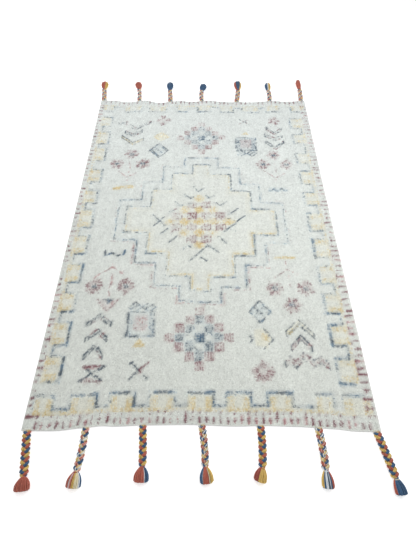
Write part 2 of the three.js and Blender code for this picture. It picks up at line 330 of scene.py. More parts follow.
def drawLattice():
    x, y = medallion["latticeCentre"]
    pitch = medallion["latticePitch"]
    for i, j, percent in lattice["gold"]:
        share = percent / 100
        a, b = x + i * pitch, y + j * pitch * (1.04 if j > 0 else 0.98)
        block("wash", a, b, 60, 54, 0.08, True)
        block("ochre", a, b, 46, 22, 0.85 * share)
        block("ochre", a, b, 24, 42, 0.85 * share)
        if j == 0:
            block("ochre", a + pitch / 2, b, 30, 14, 0.6 * share)
    for i, j, percent in lattice["plum"]:
        share = percent / 100
        block("plum", x + i * pitch, y + j * pitch, 42, 34, 0.24 * share)
        comb(x + i * pitch, y + j * pitch, 40, 34, "plum", 0.9 * share)
    for ax, ay, bx, by, percent in dashes:
        walk("haze", [(ax, ay), (bx, by)], 12, 0.12, 0)
        stroke("slate", [(ax, ay), (bx, by)], between(5.5, 7.5), percent / 100)
    for a, b in dots:
        stroke("plum" if a < -100 else "slate", [(a - 5, b), (a + 5, b + 2)], 6, 0.55)


def comb(x, y, wide, tall, yarn, share):
    # a small square of upright strokes joined along its top and foot
    count = 4
    for tooth in range(count):
        a = x + wide * (tooth / (count - 1) - 0.5)
        reach = tall / 2 * between(0.75, 1.1)
        stroke(yarn, [(a, y - reach), (a, y + reach)], 5.5, share * between(0.5, 1.1))
    for side in (-1, 1):
        b = y + side * tall / 2
        walk(yarn, [(x - wide / 2, b), (x + wide / 2, b)], 5.5, share, 0.15)


# Field: small figures on either side of the medallion
def flower(x, y, radius, lobes, share, heart=True, turned=0.0):
    patch("rose", lozenge(x, y, 2 * radius, 2 * radius), 0.12, True)
    for lobe in range(lobes):
        turn = 2 * math.pi * (lobe + turned + between(-0.12, 0.12)) / lobes
        strength = share * between(0.55, 1.3)
        for lean in (-0.24, 0.0, 0.24):
            a, b = math.cos(turn + lean), math.sin(turn + lean)
            near, far = radius * between(0.36, 0.5), radius * between(0.8, 1.05)
            petal = [(x + a * near, y + b * near), (x + a * far, y + b * far)]
            stroke("plum", petal, 6, strength * between(0.6, 1.1))
    if heart:
        stroke("slate", [(x - 7, y + 8), (x - 1, y - 9)], 6, 0.9)
        stroke("slate", [(x + 4, y + 9), (x + 9, y - 7)], 6, 0.85)
        stroke("blue", [(x - 12, y), (x + 12, y + 2)], 5, 0.5)


def halfFlower(x, y, radius, up, share):
    # a flower seen from the side, its flat face away from up
    petals = [(-radius, -4), (radius, -4), (20, 28), (0, radius + 6), (-20, 28)]
    patch("rose", [(x + a, y + up * b) for a, b in petals], 0.16, True)
    heart = [(-14, -6), (20, -6), (12, 12), (-4, 12)]
    patch("slate", [(x + a, y + up * b) for a, b in heart], 0.3, True)
    walk("slate", [(x - 18, y - up * 3), (x + 16, y - up * 4)], 8, 0.9, 0)
    stroke("blue", [(x + 2, y - up * 6), (x + 4, y + up * 12)], 10, 0.7)
    for side in (-1, 1):
        wing = [(x + side * radius, y - up * 2), (x + side * 0.6 * radius, y + up * 24)]
        walk("plum", wing, 8, share, 0.1)
        walk("plum", [(x + side * 18, y + up * 26), (x, y + up * (radius + 8))], 8, share * 1.2, 0)
        walk("rose", [(x + side * 22, y + up * 4), (x + side * 14, y + up * 20)], 7, share, 0.2)


def trio(x, y, up, spread, third, lobes, share, half=False):
    # two flowers side by side with a third between them, and a forked stem on the other side
    flower(x - spread, y, 37, lobes, share)
    flower(x + spread, y, 37, lobes, share, True, 0.5)
    if half:
        halfFlower(x, y + up * third, 38, up, share)
    else:
        flower(x, y + up * third, 36, lobes, share)
    stem = [(x, y - up * 64), (x + 4, y - up * 24), (x - 2, y + up * 8), (x, y + up * 46)]
    walk("plum rose", stem, 6, share * 0.9, 0.35)
    walk("plum rose", [(x - spread, y - up * 44), (x - 2, y - up * 94)], 5.5, share, 0.1)
    walk("plum rose", [(x - 2, y - up * 94), (x + 46, y - up * 62)], 5.5, share, 0.05)
    walk("rose", [(x - 2, y - up * 94), (x - 4, y - up * 138)], 5, share * 0.8, 0.3)


def rosette(x, y, pitch, share):
    # blocks on a diamond: plum outside, blue within, and light between them
    patch("haze", lozenge(x, y, 5.4 * pitch, 5 * pitch), 0.14, True)
    for i in range(-3, 4):
        for j in range(-3, 4):
            ring = abs(i) + abs(j)
            a, b = x + i * pitch, y + j * pitch * 0.97
            if ring == 3:
                strength = share * between(0.6, 1.0)
                comb(a, b, 0.74 * pitch, 0.78 * pitch, "plum", strength)
                block("rose", a, b, 0.95 * pitch, 0.9 * pitch, 0.2 * strength, True)
            elif ring == 2:
                block("blue", a, b, 0.9 * pitch, 0.9 * pitch, 0.3 * share)
                comb(a, b, 0.6 * pitch, 0.66 * pitch, "slate", 0.62 * share)
            elif ring == 1:
                block("ground", a, b, 0.72 * pitch, 0.66 * pitch, 0.8, True)
                walk("slate blue", lozenge(a, b, 1.1 * pitch, 1.1 * pitch), 5, 0.42, 0.35)
            elif ring == 0:
                comb(a, b, 0.84 * pitch, 0.8 * pitch, "slate", 1.1 * share)
                block("blue", a, b, 0.9 * pitch, 0.9 * pitch, 0.5)


def boxFigure(x, y, wide, tall, up, share=0.75):
    # a box with a worn rose speckle inside, and two small heads at one end
    a, b = wide / 2, tall / 2
    block("haze", x, y, wide, tall, 0.12, True)
    for side in (-1, 1):
        block("blue", x + side * (a - 10), y, 22, tall, 0.24)
        inked([(x + side * a, y - b), (x + side * a, y + b)], share, 6, 0.05)
        inner = x + side * (a - 19)
        walk("slate blue", [(inner, y - b), (inner, y + b)], 5, 0.5 * share, 0.2)
        head = (x + side * 0.26 * wide, y + up * (b + 21))
        block("haze", head[0], head[1], 38, 34, 0.14, True)
        walk("slate blue", lozenge(head[0], head[1], 50, 42), 6.5, share, 0.08)
        walk("slate", [(head[0] - 9, head[1] - 5), (head[0] + 8, head[1] + 6)], 6, share, 0)
        inked([(x - a, y + side * b), (x + a, y + side * b)], share, 6.5, 0.06)
    block("rose", x, y + 4, 0.5 * wide, 0.6 * tall, 0.24)
    block("rose", x, y + 4, 0.5 * wide, 0.6 * tall, 0.08, True)
    for rung in (-1, 0, 1):
        walk("rose plum", [(x - 20, y + rung * 20), (x + 18, y + rung * 20 + 5)], 5, 0.45, 0.2)


def crossed(x, y, wide, tall, share):
    a, b = wide / 2, tall / 2
    walk("slate plum", [(x - a, y - b), (x, y), (x + a, y + b)], 5.5, share, 0.12)
    walk("slate plum", [(x - a, y + b), (x, y), (x + a, y - b)], 5.5, share, 0.12)


def hourglass(x, y, wide, tall):
    a, b = wide / 2, tall / 2
    for side in (-1, 1):
        c, d = a * 0.8, side * b * 0.7
        walk("plum", [(x - a, y + side * b), (x + a, y + side * b)], 10, 0.74, 0.05)
        walk("plum rose", [(x - c, y + d), (x + c, y + d)], 8, 0.5, 0.25)
        walk("slate", [(x, y), (x + side * a, y + b * 0.9)], 7, 1.2, 0)
        walk("slate", [(x, y), (x + side * a, y - b * 0.9)], 7, 1.2, 0)
        stroke("slate", [(x + side * a - 6, y + side * b), (x + side * a + 4, y + side * b)], 8, 0.85)
    stroke("slate", [(x - 10, y + 6), (x - 2, y)], 9, 0.9)


def drawFrontField():
    trio(-384, -348, -1, 65, 66, 8, 0.62, True)
    trio(360, -361, -1, 64, 74, 6, 0.56)
    for apex, width, tall in ((-474, 96, 36), (-536, 88, 38), (-596, 76, 46)):
        middle = -404 + (apex + 540) * 0.02
        foot = apex - tall
        line = [(middle - width / 2, foot), (middle, apex), (middle + width / 2 - 4, foot + 2)]
        hatched(line, 17, 0.9, "slate", 0.34, "slate slate slate plum")
    hatched([(322, -548), (376, -501), (428, -557)], 20, 0.85, "wash", 0.22, "slate")
    patch("ochre", [(326, -556), (372, -512), (372, -530), (338, -566)], 0.16)
    hatched([(335, -606), (374, -566), (412, -610)], 19, 0.85, "plum", 0.3, "plum slate")
    zigzag = [(306, -664), (324, -645), (344, -672), (374, -631), (410, -662), (440, -648), (466, -674)]
    hatched(zigzag, 24, 0.9, "plum", 0.26, "slate plum slate")
    flower(221, -704, 40, 9, 0.62, False)
    hourglass(-399, -709, 74, 54)
    rosette(-13, -572, 38, 0.8)
    boxFigure(-242, -516, 104, 104, 1)
    stroke("slate", [(-292, -470), (-290, -566)], 8, 0.85)
    patch("ochre", [(-268, -612), (-214, -612), (-240, -573)], 0.85)
    walk("slate", [(-264, -598), (-243, -573)], 5, 0.5, 0)
    walk("slate blue", lozenge(227, -465, 86, 97), 6.5, 0.85, 0.08)
    patch("haze", lozenge(227, -465, 80, 88), 0.18, True)
    walk("slate", [(204, -482), (246, -440)], 6, 0.6, 0.1)
    walk("slate", [(208, -446), (238, -480)], 6.5, 0.7, 0.1)
    patch("wash", [(197, -540), (251, -540), (262, -580), (244, -616), (200, -604)], 0.3, True)
    patch("ochre", [(222, -550), (254, -566), (250, -590), (226, -580)], 0.5)
    walk("slate", [(239, -538), (269, -580)], 7.5, 0.9, 0)
    walk("slate", [(269, -580), (229, -620)], 6.5, 0.85, 0.05)
    walk("plum slate", [(172, -563), (190, -578), (184, -592)], 7, 0.6, 0.1)
    stroke("slate", [(-268, -672), (-258, -666)], 9, 0.9)
    walk("slate", [(-264, -668), (-234, -696)], 5, 0.95, 0)
    walk("slate", [(-232, -696), (-264, -728)], 6, 0.92, 0)
    walk("plum", [(-232, -696), (-198, -667)], 5.5, 0.92, 0)
    walk("slate plum", [(-232, -696), (-202, -726)], 4.5, 1, 0)
    walk("ochre", [(318, -208), (398, -208)], 13, 0.6, 0.05)
    hooked = [(-428, -170), (-424, -198), (-400, -182), (-372, -198), (-346, -190), (-341, -170)]
    walk("blue slate", hooked, 8, 0.85, 0)
    walk("plum", [(-219, -294), (-217, -352)], 8, 0.45, 0.3)
    walk("rose plum", [(-308, -134), (-304, -176)], 7, 0.45, 0.3)


def drawFarField():
    trio(-378, 372, 1, 66, 72, 6, 0.62)
    trio(369, 366, 1, 60, 68, 6, 0.56)
    winged = [(-474, 706), (-446, 700), (-436, 712), (-377, 656), (-333, 694), (-294, 710)]
    hatched(winged, 18, 0.78, "slate", 0.16)
    hatched([(-430, 632), (-384, 604), (-338, 640)], 22, 0.8, "slate", 0.3)
    hatched([(-446, 594), (-380, 534), (-326, 570)], 20, 0.8, "ochre", 0.34, "slate")
    hatched([(350, 662), (387, 620), (432, 656)], 20, 0.75, "slate", 0.16)
    hatched([(338, 606), (390, 572), (430, 592)], 22, 0.75, "slate", 0.16)
    hatched([(338, 548), (389, 500), (434, 548)], 20, 0.85, "slate", 0.2)
    flower(399, 716, 32, 5, 0.6, False)
    flower(-226, 718, 42, 4, 0.85, False)
    rosette(-10, 574, 38, 0.6)
    boxFigure(229, 522, 110, 104, -1, 0.72)
    block("slate", 229, 520, 104, 96, 0.16)
    patch("ochre", [(206, 598), (258, 598), (234, 622)], 0.5)
    walk("slate slate blue", lozenge(-236, 474, 98, 108), 6.5, 0.85, 0.04)
    patch("haze", lozenge(-236, 474, 92, 100), 0.16, True)
    for bar in (-0.6, 0, 0.6):
        a, b = -236 + bar * 32, 474 + bar * 34
        walk("slate blue", [(a - 20, b + 22), (a + 20, b - 22)], 6.5, 0.75, 0.05)
    patch("wash", lozenge(-228, 581, 86, 72), 0.44)
    walk("ochre", lozenge(-228, 581, 80, 64), 7, 0.5, 0.2)
    crossed(230, 708, 54, 42, 0.62)
    walk("ochre", [(-438, 199), (-398, 208), (-352, 210)], 19, 0.62, 0)
    walk("blue slate", [(322, 182), (346, 197), (364, 182), (384, 195), (412, 182)], 11, 0.85, 0)
    patch("haze", [(318, 176), (414, 176), (408, 206), (324, 206)], 0.2, True)


# Border: gold bars joined along the outside, a broken blue line round them, and plum ticks at the edge
border = {  # distances from the edge
    "front": {"band": (46, 60), "gap": 67, "top": 112, "share": 0.88, "goldShare": 0.72},
    "far": {"band": (44, 56), "gap": 62, "top": 101, "share": 0.72, "goldShare": 0.36},
    "left": {"band": (25, 42), "gap": 44, "top": 90, "share": 0.9, "goldShare": 0.62},
    "right": {"band": (36, 50), "gap": 54, "top": 109, "share": 0.88, "goldShare": 0.48},
}
# Each tooth: its start and end, and how strongly its parts show, in hundredths. They are the gold bars at
# its start and end, its top line, the lines on its two sides, and the line and the gold strip after it.
toothParts = ("start", "end", "goldA", "goldB", "top", "sideA", "sideB", "foot", "strip")
teeth = {
    "front": [
        (-584, -518, 62, 66, 40, 10, 72, 66, 62), (-459, -371, 55, 20, 90, 50, 90, 42, 30),
        (-324, -238, 50, 66, 62, 20, 100, 66, 40), (-185, -98, 46, 40, 90, 30, 60, 60, 34),
        (-52, 40, 55, 70, 95, 20, 95, 62, 30), (84, 170, 55, 40, 62, 40, 72, 80, 55),
        (228, 316, 50, 28, 90, 80, 45, 50, 30), (396, 458, 50, 16, 55, 10, 40, 30, 30),
        (491, 590, 34, 40, 60, 10, 0, 0, 0),
    ],
    "far": [
        (-584, -518, 50, 40, 40, 20, 30, 50, 30), (-455, -360, 60, 40, 80, 20, 40, 30, 20),
        (-315, -218, 30, 66, 40, 40, 60, 30, 20), (-150, -93, 60, 30, 60, 30, 40, 30, 20),
        (-35, 40, 50, 40, 70, 80, 30, 60, 30), (97, 170, 40, 66, 80, 70, 60, 70, 30),
        (224, 320, 40, 66, 50, 70, 30, 80, 30), (368, 442, 66, 60, 70, 30, 30, 40, 30),
        (507, 590, 66, 80, 50, 70, 0, 0, 0),
    ],
    "left": [
        (-739, -646, 60, 62, 95, 80, 50, 40, 20), (-602, -511, 60, 55, 90, 100, 40, 66, 20),
        (-464, -380, 62, 45, 16, 85, 40, 40, 30), (-330, -240, 66, 50, 80, 85, 66, 30, 30),
        (-190, -90, 66, 45, 50, 90, 30, 40, 30), (-43, 63, 50, 40, 50, 66, 50, 40, 30),
        (106, 185, 45, 40, 60, 70, 50, 30, 20), (245, 331, 40, 40, 50, 50, 40, 30, 20),
        (396, 491, 36, 30, 40, 50, 40, 30, 20), (524, 621, 40, 30, 40, 80, 70, 30, 20),
        (668, 745, 30, 30, 30, 70, 50, 20, 20),
    ],
    "right": [
        (-746, -656, 40, 45, 40, 85, 62, 60, 40), (-607, -523, 50, 62, 90, 66, 85, 50, 30),
        (-475, -387, 75, 40, 50, 90, 40, 50, 50), (-339, -254, 60, 40, 45, 40, 45, 30, 40),
        (-208, -108, 45, 66, 90, 55, 60, 30, 30), (-62, 40, 45, 40, 50, 50, 40, 30, 30),
        (90, 170, 45, 40, 50, 50, 40, 30, 30), (228, 318, 40, 40, 40, 50, 40, 30, 30),
        (373, 450, 45, 35, 50, 40, 40, 30, 30), (528, 600, 40, 40, 66, 40, 66, 40, 30),
        (655, 738, 40, 45, 60, 30, 66, 30, 30),
    ],
}


def onEdge(edge, along, inset):
    if edge in ("front", "far"):
        t = halfLong - inset
        x, y = layOut(along + pattern["across"], -t if edge == "front" else t)
    else:
        s = halfWide - inset
        x, y = layOut(-s if edge == "left" else s, along)
    return x - pattern["across"], y


def drawKey(edge):
    sizes = border[edge]
    (low, high), gap, top = sizes["band"], sizes["gap"], sizes["top"]

    def bar(a, b, near, far, share, even=False):
        corners = [onEdge(edge, *spot) for spot in ((a, near), (b, near), (b, far), (a, far))]
        patch("wash" if even else "ochre", corners, share * sizes["goldShare"], even)

    def line(share, width, *ends):
        spots = [onEdge(edge, *spot) for spot in ends]
        walk("haze", spots, width + 8, 0.14 * share, 0.1)
        walk("slate blue", spots, width + 1, share * sizes["share"], 0.3 - 0.28 * share)

    rows = []
    for start, end, *percents in teeth[edge]:
        rows.append(dict(zip(toothParts, [start, end, *[percent / 100 for percent in percents]])))
    for order, tooth in enumerate(rows):
        a, b = tooth["start"], tooth["end"]
        third = (b - a) * 0.32
        bar(a, b, low, top - 6, 0.26, True)
        bar(a + 3, a + third, low + 2, top - 11, tooth["goldA"])
        bar(b - third, b - 3, low + 2, top - 11, tooth["goldB"])
        line(tooth["sideA"], 8.5, (a, gap), (a, top))
        line(tooth["top"], 9.5, (a, top), (b, top))
        line(tooth["sideB"], 8.5, (b, top), (b, gap))
        if order + 1 < len(rows):
            after = rows[order + 1]["start"]
            bar(a, after, low, high, tooth["strip"])
            line(tooth["foot"], 7.5, (b, gap), (after, gap))


def tick(edge, along, near, far, share):
    # a short plum stroke across the edge, some with one or two small bars
    lean = between(-3, 3)
    yarn = "plum" if chart.random() < 0.7 else "rose"
    stroke(yarn, [onEdge(edge, along, near), onEdge(edge, along + lean, far)], between(6, 8), share)
    for bar in range(chart.integers(0, 3)):
        inset = mixed(near, far, between(0.3, 1))
        ends = [onEdge(edge, along - 5, inset), onEdge(edge, along + 5, inset)]
        stroke("plum", ends, 4.5, share * between(0.5, 1))


sideDashes = [(-800, -760, 0.5), (-736, -640, 0.8), (-600, -500, 0.6), (-330, -290, 0.5), (-240, -180, 0.3)]


def drawTicks():
    for order in range(48):
        a = -566 + order * 24.1 + between(-2, 2)
        near = (4 if order < 2 else 9) + between(-1, 3)
        tick("front", a, near, near + between(13, 20), between(0.7, 1))
        b = between(36, 41)
        stroke("plum", [onEdge("front", a, b), onEdge("front", a + 2, b + 8)], 5, between(0.1, 0.75))
    for order in range(46):
        a = -570 + order * 25.6 + between(-2, 2)
        stroke("plum", [onEdge("far", a, 7), onEdge("far", a + between(-3, 3), 23)], 8, between(0.45, 0.85))
        stroke("rose", [onEdge("far", a, 30), onEdge("far", a, 40)], 6, between(0, 0.4))
    for edge, count, pitch, reach in (("left", 64, 27, 20), ("right", 66, 26, 31)):
        for order in range(count):
            a = -848 + order * pitch + between(-4, 4)
            near = 3 + between(-1, 4)
            share = mixed(0.95, 0.58, order / count) * between(0.45, 1.1)
            tick(edge, a, near, reach + between(-7, 5), share)
    for edge, inset in (("left", 22), ("right", 34)):
        for start, end, share in sideDashes:
            walk("plum", [onEdge(edge, start, inset), onEdge(edge, end, inset)], 4.5, share, 0.3)
    walk("plum", [onEdge("left", -856, 6), onEdge("left", -854, 44)], 9, 0.9, 0)


drawMedallion()
for edge in border:
    drawKey(edge)
drawTicks()
drawLattice()
drawFrontField()
drawFarField()
print("pattern charted:", len(marks), "marks")


def distanceTo(points, x, y):
    nearest = np.full(x.shape, np.inf)
    for (ax, ay), (bx, by) in zip(points[:-1], points[1:]):
        lengthSquared = max((bx - ax) ** 2 + (by - ay) ** 2, 1e-9)
        along = np.clip(((x - ax) * (bx - ax) + (y - ay) * (by - ay)) / lengthSquared, 0, 1)
        nearest = np.minimum(nearest, np.hypot(x - ax - along * (bx - ax), y - ay - along * (by - ay)))
    return nearest


def isInside(points, x, y):
    inside = np.zeros(x.shape, bool)
    for (ax, ay), (bx, by) in zip(points, np.roll(points, -1, axis=0)):
        if ay == by:
            continue
        crosses = (ay > y) != (by > y)
        inside ^= crosses & (x < ax + (y - ay) * (bx - ax) / (by - ay))
    return inside


def wobble(s, t, seed):
    small, large = pattern["wobblePatches"]
    return pattern["wobble"] * (clouds(s, t, small, small, seed) + clouds(s, t, large, large, seed + 1) - 1)


def paint(s, t, worn):
    # the wool's colour at places on the rug; worn is 0 where dye holds best and 1 where it holds least
    lyingX, lyingY = layOut(s, t)
    x = lyingX - pattern["across"] + wobble(s, t, 11)
    y = lyingY + wobble(s, t, 13)
    far = eased(t / rug["length"] + 0.5)
    patchy = clouds(s, t, *pattern["wearPatch"], 15) - pattern["fullHold"]
    hold = mixed(1, pattern["farFade"], far) * (1 - pattern["patchyWear"] * patchy)
    least, more = pattern["dyed"]
    # the plain ground is slightly warmer towards the front end and cooler towards the far end
    plain = mixed(dye["warmGround"], dye["ground"], far[:, None])
    colour = plain.copy()
    for mark in marks:
        reach = mark["width"] / 2 + pattern["edgeSoftness"]
        low, high = mark["points"].min(0) - reach, mark["points"].max(0) + reach
        near = np.flatnonzero((x > low[0]) & (x < high[0]) & (y > low[1]) & (y < high[1]))
        if mark["width"]:
            margin = mark["width"] / 2 - distanceTo(mark["points"], x[near], y[near])
            cover = np.clip(margin / pattern["edgeSoftness"] + 0.5, 0, 1)
        else:
            cover = isInside(mark["points"], x[near], y[near])
        strength = cover * np.clip(mark["share"] * hold[near], 0, pattern["strongest"])
        if worn is not None and not mark["even"]:
            stain = pattern["stain"].get(mark["yarn"], pattern["faintStain"])
            strength = np.where(strength > worn[near], least + more * strength, stain * strength)
        target = plain[near] if mark["yarn"] == "ground" else dye[mark["yarn"]]
        colour[near] = mixed(colour[near], target, strength[:, None])
    return colour


# Materials, and the node trees that grow tufts and yarns

def addNode(tree, kind, settings=(), ordered=(), **named):
    # an input, given in order or by name, is a value, a socket, or a node whose first output is meant
    node = tree.nodes.new(kind)
    for name, value in dict(settings).items():
        setattr(node, name, value)
    given = [(node.inputs[order], value) for order, value in enumerate(ordered)]
    given += [(node.inputs[name.replace("_", " ")], value) for name, value in named.items()]
    for socket, value in given:
        if isinstance(value, bpy.types.Node):
            value = value.outputs[0]
        if isinstance(value, bpy.types.NodeSocket):
            tree.links.new(value, socket)
        else:
            socket.default_value = value
    return node


def newMaterial(name):
    material = bpy.data.materials.new(name)
    material.use_nodes = True
    material.node_tree.nodes.clear()
    return material, material.node_tree


def woolMaterial(name, sheen, scales, shades, bumps):
    # scales and shades: of the fibres, and of broad patches; bumps: strength, and depth in millimetres
    material, tree = newMaterial(name)
    place = addNode(tree, "ShaderNodeTexCoord").outputs["Object"]
    noises, tints = [], []
    for scale, detail, shade in zip(scales, (3, 2), shades):
        noise = addNode(tree, "ShaderNodeTexNoise", Vector=place, Scale=scale, Detail=detail)
        noises.append(noise)
        tints.append(addNode(
            tree, "ShaderNodeMapRange", Value=noise, From_Min=0.3, From_Max=0.7,
            To_Min=1 - shade, To_Max=1 + shade,
        ))
    tint = addNode(tree, "ShaderNodeMath", {"operation": "MULTIPLY"}, tints)
    dyed = addNode(tree, "ShaderNodeAttribute", {"attribute_name": "dye"})
    colour = addNode(tree, "ShaderNodeVectorMath", {"operation": "SCALE"}, [dyed], Scale=tint)
    bump = addNode(tree, "ShaderNodeBump", Strength=bumps[0], Distance=bumps[1] * mm, Height=noises[0])
    shader = addNode(
        tree, "ShaderNodeBsdfPrincipled", Base_Color=colour, Roughness=0.95, Specular_IOR_Level=0.15,
        Sheen_Weight=sheen, Sheen_Roughness=0.6, Normal=bump,
    )
    addNode(tree, "ShaderNodeOutputMaterial", Surface=shader)
    return material


pileWool = woolMaterial("pileWool", 0.15, scales=(900, 9), shades=(0.07, 0.02), bumps=(0.5, 0.5))
canvasWool = woolMaterial("canvasWool", 0.05, scales=(700, 14), shades=(0.1, 0.04), bumps=(0.8, 0.6))
plaitWool = woolMaterial("plaitWool", 0.25, scales=(1100, 60), shades=(0.16, 0.06), bumps=(0.6, 0.5))
tasselWool = woolMaterial("tasselWool", 0.25, scales=(1100, 80), shades=(0.16, 0.08), bumps=(0.6, 0.4))
tieCotton = woolMaterial("tieCotton", 0.1, scales=(1600, 120), shades=(0.12, 0.05), bumps=(0.5, 0.2))


def newTree(name, **inputs):
    tree = bpy.data.node_groups.new(name, "GeometryNodeTree")
    for label, kind in {"Geometry": "Geometry", **inputs}.items():
        tree.interface.new_socket(label, in_out="INPUT", socket_type="NodeSocket" + kind)
    tree.interface.new_socket("Geometry", in_out="OUTPUT", socket_type="NodeSocketGeometry")
    return tree, tree.nodes.new("NodeGroupInput").outputs


def finishTree(tree, geometry, smooth, material):
    real = addNode(tree, "GeometryNodeRealizeInstances", Geometry=geometry)
    shaded = addNode(tree, "GeometryNodeSetShadeSmooth", Geometry=real, Shade_Smooth=smooth)
    done = addNode(tree, "GeometryNodeSetMaterial", Geometry=shaded, Material=material)
    addNode(tree, "NodeGroupOutput", Geometry=done)
    return tree


def attributeNode(tree, name):
    return addNode(tree, "GeometryNodeInputNamedAttribute", {"data_type": "FLOAT"}, Name=name)


def tuftTree():
    # one pointed tuft of wool on each point of the mesh, leaning at random
    tree, given = newTree(
        "pileTufts", wide="Float", long="Float", lean="Float", seed="Int", material="Material",
    )
    cone = {"Vertices": 3, "Radius_Top": 0, "Radius_Bottom": 1, "Depth": 1}
    tuft = addNode(tree, "GeometryNodeMeshCone", {"fill_type": "NGON"}, **cone)
    tall = attributeNode(tree, "tall")
    size = addNode(tree, "ShaderNodeCombineXYZ", X=given["wide"], Y=given["long"], Z=tall)
    twoTurns = 12.566
    aside = addNode(
        tree, "FunctionNodeRandomValue", {"data_type": "FLOAT_VECTOR"}, [(-1, -1, 0), (1, 1, twoTurns)],
        Seed=given["seed"],
    )
    amount = addNode(tree, "ShaderNodeCombineXYZ", X=given["lean"], Y=given["lean"], Z=1)
    turn = addNode(tree, "ShaderNodeVectorMath", {"operation": "MULTIPLY"}, [aside, amount])
    placed = addNode(
        tree, "GeometryNodeInstanceOnPoints", Points=given["Geometry"], Instance=tuft,
        Rotation=turn, Scale=size,
    )
    return finishTree(tree, placed, False, given["material"])


def yarnTree():
    # a round yarn along each line of the mesh, as thick as the line says at each point
    tree, given = newTree("yarnOnLine", sides="Int", material="Material")
    thick = attributeNode(tree, "thick")
    line = addNode(tree, "GeometryNodeMeshToCurve", Mesh=given["Geometry"])
    sized = addNode(tree, "GeometryNodeSetCurveRadius", Curve=line, Radius=thick)
    section = addNode(tree, "GeometryNodeCurvePrimitiveCircle", Resolution=given["sides"], Radius=1)
    tube = addNode(tree, "GeometryNodeCurveToMesh", Curve=sized, Profile_Curve=section, Fill_Caps=True)
    if "Scale" in tube.inputs:
        tree.links.new(thick.outputs[0], tube.inputs["Scale"])
    return finishTree(tree, tube, True, given["material"])


def grown(name, source, tree, **values):
    # runs a tree on a mesh and keeps the result as a plain mesh
    modifier = source.modifiers.new("grow", "NODES")
    modifier.node_group = tree
    for item in tree.interface.items_tree:
        if item.name in values:
            modifier[item.identifier] = values[item.name]
    graph = bpy.context.evaluated_depsgraph_get()
    result = source.evaluated_get(graph)
    mesh = bpy.data.meshes.new_from_object(result, preserve_all_data_layers=True, depsgraph=graph)
    bpy.data.objects.remove(source)
    return linked(name, mesh)


def linked(name, data):
    item = bpy.data.objects.new(name, data)
    scene.collection.objects.link(item)
    return item


def meshObject(name, points, edges, faces, attributes):
    # points in millimetres from the rug's middle
    mesh = bpy.data.meshes.new(name)
    mesh.from_pydata((np.asarray(points, float) + [middleX, middleY, 0]) * mm, edges, faces)
    for key, values in attributes.items():
        if values.ndim == 2:
            layer = mesh.attributes.new(key, "FLOAT_COLOR", "POINT")
            layer.data.foreach_set("color", np.column_stack([values, np.ones(len(values))]).ravel())
        else:
            layer = mesh.attributes.new(key, "FLOAT", "POINT")
            layer.data.foreach_set("value", values)
    return linked(name, mesh)


tufts = tuftTree()
yarns = yarnTree()
yarnSides = 5


def yarnLine(spots, z, thick, colour):
    points = np.column_stack([spots, z])
    return {"points": points, "thick": np.broadcast_to(thick, len(z)) * mm, "colour": colour}


def yarnPiece(name, lines, material):
    edges = []
    first = 0
    for line in lines:
        last = first + len(line["points"]) - 1
        edges += [(step, step + 1) for step in range(first, last)]
        first = last + 1
    points, thick = [np.concatenate([line[part] for line in lines]) for part in ("points", "thick")]
    colours = np.concatenate([np.tile(line["colour"], (len(line["points"]), 1)) for line in lines])
    lineMesh = meshObject(name + "Lines", points, edges, [], {"thick": thick, "dye": colours})
    return grown(name, lineMesh, yarns, sides=yarnSides, material=material)


# The rug: a canvas sheet, closed all round, and tufts of pile standing on it

def stationsOf(size):
    insets = rug["insets"]
    inner = np.linspace(insets[-1], size - insets[-1], round((size - 2 * insets[-1]) / rug["cell"]) + 1)
    low = np.array(insets[:-1])
    return np.concatenate([low, inner, size - low[::-1]]) - size / 2


def gridOf(across, along):
    return [grid.ravel() for grid in np.meshgrid(across, along)]


def buildCanvas():
    across = stationsOf(rug["width"])
    along = stationsOf(rug["length"])
    s, t = gridOf(across, along)
    x, y = layOut(s, t)
    inset = insetOf(s, t)
    atRim = inset == 0
    drop = rug["canvasDrop"] * eased(inset / rug["canvasEdge"])
    top = np.maximum(pileHeight(s, t) - drop, rug["canvasLow"])
    tucked = rug["underInset"] * atRim
    under = np.column_stack([x - np.sign(x) * tucked, y - np.sign(y) * tucked, 0 * x])
    count = len(s)
    index = np.arange(count).reshape(len(along), len(across))
    corners = (index[:-1, :-1], index[:-1, 1:], index[1:, 1:], index[1:, :-1])
    upper = np.column_stack([corner.ravel() for corner in corners])
    lower = upper[:, ::-1] + count
    rim = np.concatenate([index[0, :-1], index[:-1, -1], index[-1, :0:-1], index[:0:-1, 0]])
    after = np.roll(rim, -1)
    wall = np.column_stack([rim + count, after + count, after, rim])
    # the rim and the underside take the canvas grey; along the rim this thin grey strip is partly painted
    # shade at the rug's edges
    colours = np.tile(dye["canvas"], (2 * count, 1))
    colours[:count][~atRim] = paint(s, t, None)[~atRim]
    points = np.vstack([np.column_stack([x, y, top]), under])
    canvas = meshObject("rugCanvas", points, [], np.vstack([upper, lower, wall]), {"dye": colours})
    canvas.data.materials.append(canvasWool)
    canvas.data.shade_smooth()
    return canvas


pile = {
    "acrossPitch": 3.4,
    "alongPitch": 3.6,
    "jitter": 0.6,
    "tuftWidth": 2.5,  # from a tuft's middle to a corner of its foot
    "tuftLength": 2.9,
    "lean": 0.22,
    "footDrop": 0.6,  # how deep a tuft is rooted in the canvas
    "footLow": 0.6,
    "wear": [(0.7, 6, 5), (0.3, 3.6, 20)],  # worn spots and worn streaks: their part, width and length
    "wearGrain": 0.2,
    "shade": 0.11,  # how much one tuft's shade differs from the next
    "clumps": [(7, 7, 0.12), (14, 14, 0.08), (3.5, 240, 0.06)],  # of one shade: width, length and spread
    "clumpRise": 0.8,  # how much higher one clump stands than another
    "clumpSize": 9,
    "clumpLevel": 0.75,
    "ragged": (-0.4, 0.1),  # how uneven the tips of its tufts are
    "bands": 4,
    "edgeMargin": 3,
}


